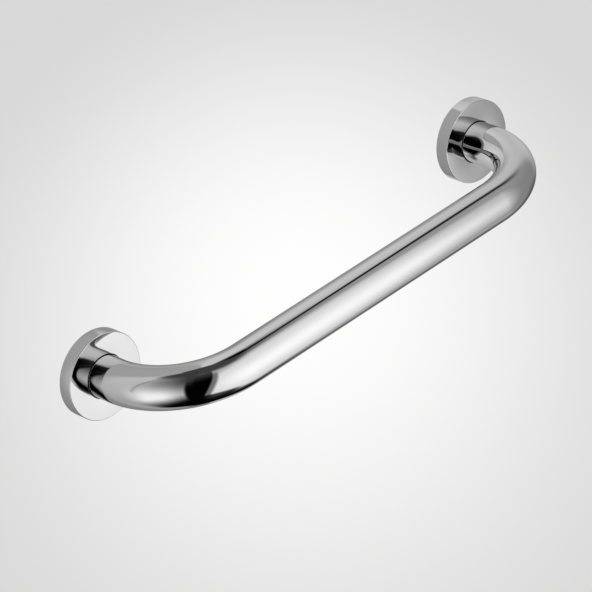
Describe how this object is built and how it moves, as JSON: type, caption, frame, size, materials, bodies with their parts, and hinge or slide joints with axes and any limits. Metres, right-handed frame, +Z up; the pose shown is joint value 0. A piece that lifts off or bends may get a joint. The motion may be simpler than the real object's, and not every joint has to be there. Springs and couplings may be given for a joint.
{
  "type": "wall grab rail",
  "caption": "Straight wall grab rail: a chromed tube with a right-angle bend at each end, fixed through flanges hidden under round covers that slide off along the tube.",
  "frame": {"origin": "on the wall plane, midway between the two fixings", "axes": "+X along the rail to the right-hand fixing, +Y into the wall, +Z up; the rail stands out towards -Y"},
  "size_m": [0.351, 0.0869, 0.051],
  "materials": {
    "chrome": "mirror-polished chrome plate on brass tube and covers",
    "ring_nylon": "black moulded nylon",
    "seal_rubber": "black O-ring rubber",
    "flange_zinc": "turned steel plate, clear zinc plating",
    "plug_brass": "turned brass",
    "bolt_zinc": "zinc-plated steel bolt",
    "pin_steel": "ground steel dowel",
    "gasket_foam": "dark grey closed-cell foam rubber",
    "screw_stainless": "stainless steel, rolled thread"
  },
  "bodies": {
    "root": {"rail_tube": "chrome", "left_cover_seal": "seal_rubber", "left_mounting_flange": "flange_zinc", "left_end_plug": "plug_brass", "left_flange_bolt": "bolt_zinc", "left_locating_pin_upper": "pin_steel", "left_locating_pin_lower": "pin_steel", "left_wall_gasket": "gasket_foam", "left_fixing_screw_outer": "screw_stainless", "left_fixing_screw_upper": "screw_stainless", "left_fixing_screw_lower": "screw_stainless", "right_cover_seal": "seal_rubber", "right_mounting_flange": "flange_zinc", "right_end_plug": "plug_brass", "right_flange_bolt": "bolt_zinc", "right_locating_pin_upper": "pin_steel", "right_locating_pin_lower": "pin_steel", "right_wall_gasket": "gasket_foam", "right_fixing_screw_outer": "screw_stainless", "right_fixing_screw_upper": "screw_stainless", "right_fixing_screw_lower": "screw_stainless"},
    "left_cover_slider": {"left_cover_ring": "ring_nylon"},
    "left_cover_body": {"left_cover": "chrome"},
    "right_cover_slider": {"right_cover_ring": "ring_nylon"},
    "right_cover_body": {"right_cover": "chrome"}
  },
  "joints": [
    {"name": "left_cover_slide", "type": "slide", "parent": "root", "child": "left_cover_slider", "axis": [0, -1, 0], "range_m": [0, 0.012]},
    {"name": "left_cover_turn", "type": "hinge", "parent": "left_cover_slider", "child": "left_cover_body", "pos_m": [-0.15, 0, 0], "axis": [0, -1, 0], "continuous": true},
    {"name": "right_cover_slide", "type": "slide", "parent": "root", "child": "right_cover_slider", "axis": [0, -1, 0], "range_m": [0, 0.012]},
    {"name": "right_cover_turn", "type": "hinge", "parent": "right_cover_slider", "child": "right_cover_body", "pos_m": [0.15, 0, 0], "axis": [0, -1, 0], "continuous": true}
  ]
}
